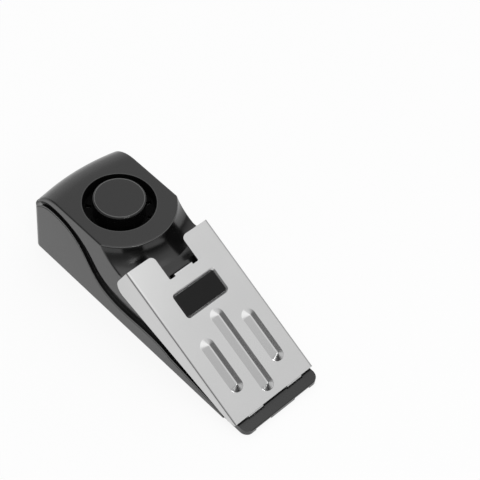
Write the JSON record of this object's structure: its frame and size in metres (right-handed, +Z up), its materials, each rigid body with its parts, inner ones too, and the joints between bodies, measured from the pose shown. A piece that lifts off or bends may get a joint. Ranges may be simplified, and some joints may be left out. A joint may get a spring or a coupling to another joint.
{
  "type": "door stop alarm",
  "caption": "Wedge-shaped door stop alarm: a steel pressure plate over a two-part case with a round siren housing, a battery door and rubber grips.",
  "frame": {"origin": "on the floor under the middle of the alarm's box", "axes": "+X towards the thin nose, +Y towards the side with the sensitivity switch, +Z up"},
  "size_m": [0.145, 0.0478, 0.0444],
  "materials": {
    "case_plastic": "satin black moulded plastic",
    "cap_plastic": "smooth black plastic with a soft shine",
    "badge_plastic": "blank glossy black badge",
    "plate_steel": "satin silver pressed steel sheet",
    "grip_rubber": "black rubber with a fine cross pattern",
    "knob_plastic": "ridged black plastic",
    "natural_plastic": "natural white plastic",
    "holder_plastic": "black plastic ring",
    "disc_brass": "bare brass disc",
    "ceramic": "silvered ceramic layer",
    "battery_jacket": "plain dark jacket without print",
    "contact_metal": "bright plated contacts",
    "snap_vinyl": "soft black vinyl",
    "board_laminate": "green circuit board laminate",
    "chip_plastic": "black chip package",
    "coil_ferrite": "dark ferrite drum",
    "can_aluminium": "bare aluminium can",
    "resistor_ceramic": "small dark resistors",
    "switch_plastic": "black switch body",
    "spring_steel": "bright spring wire",
    "screw_steel": "zinc plated screws",
    "red_lead": "red insulation",
    "black_lead": "black insulation"
  },
  "bodies": {
    "root": {"upper_case": "case_plastic", "lower_case": "case_plastic", "front_grip_pad": "grip_rubber", "siren_cap": "cap_plastic", "piezo_holder": "holder_plastic", "piezo_disc": "disc_brass", "piezo_ceramic": "ceramic", "battery": "battery_jacket", "battery_terminals": "contact_metal", "battery_snap": "snap_vinyl", "circuit_board": "board_laminate", "control_chip": "chip_plastic", "step_up_coil": "coil_ferrite", "capacitor": "can_aluminium", "resistors": "resistor_ceramic", "slide_switch": "switch_plastic", "return_spring": "spring_steel", "trigger_switch": "switch_plastic", "case_screws": "screw_steel", "battery_lead_red": "red_lead", "battery_lead_black": "black_lead", "siren_leads": "black_lead", "trigger_leads": "red_lead"},
    "plate": {"pressure_plate": "plate_steel", "badge": "badge_plastic"},
    "plunger": {"trigger_plunger": "natural_plastic", "trigger_button": "natural_plastic"},
    "knob": {"sensitivity_knob": "knob_plastic"},
    "door": {"battery_door": "case_plastic", "rear_grip_pad": "grip_rubber"}
  },
  "joints": [
    {"name": "plate_hinge", "type": "hinge", "parent": "root", "child": "plate", "pos_m": [0.0668, 0, 0.0027], "axis": [0, -1, 0], "range_deg": [0, 2.5], "stiffness_Nm_per_rad": 3, "springref_deg": -2.01},
    {"name": "plunger_slide", "type": "slide", "parent": "root", "child": "plunger", "axis": [0, 0, -1], "range_m": [0, 0.00276], "deforming": ["return_spring"]},
    {"name": "knob_slide", "type": "slide", "parent": "root", "child": "knob", "axis": [1, 0, 0], "range_m": [-0.004, 0]},
    {"name": "door_hinge", "type": "hinge", "parent": "root", "child": "door", "pos_m": [-0.06945, 0, 0.0007], "axis": [0, 1, 0], "range_deg": [0, 45]}
  ],
  "couplings": [
    {"joint": "plunger_slide", "follows": "plate_hinge", "m_per_rad": 0.06275}
  ]
}
